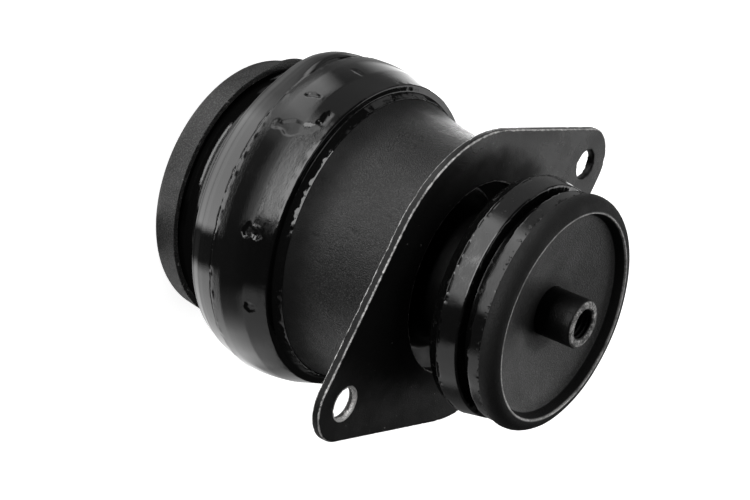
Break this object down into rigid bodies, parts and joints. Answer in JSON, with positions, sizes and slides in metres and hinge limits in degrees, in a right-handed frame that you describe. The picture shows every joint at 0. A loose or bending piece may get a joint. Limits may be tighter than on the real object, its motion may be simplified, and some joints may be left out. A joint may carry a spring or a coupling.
{
  "type": "engine mount",
  "caption": "Cylindrical rubber engine mount: flared bell with a two-bolt flange plate, cupped ends and a threaded core.",
  "frame": {"origin": "centre of the flat ridge of the rear cup, which the mount stands on", "axes": "+Z along the core towards the front cap, +X through the two bolt holes of the flange"},
  "size_m": [0.1396, 0.0998, 0.127],
  "materials": {
    "cup_paint": "matte",
    "main_rubber": "oily",
    "bell_paint": "matte",
    "plate_paint": "matte",
    "core_steel": "matte",
    "front_rubber": "oily",
    "cap_paint": "matte"
  },
  "bodies": {
    "root": {"rear_cup": "cup_paint", "main_rubber": "main_rubber", "bell": "bell_paint", "flange_plate": "plate_paint", "inner_core": "core_steel", "front_rubber": "front_rubber", "front_cap": "cap_paint"}
  },
  "joints": []
}
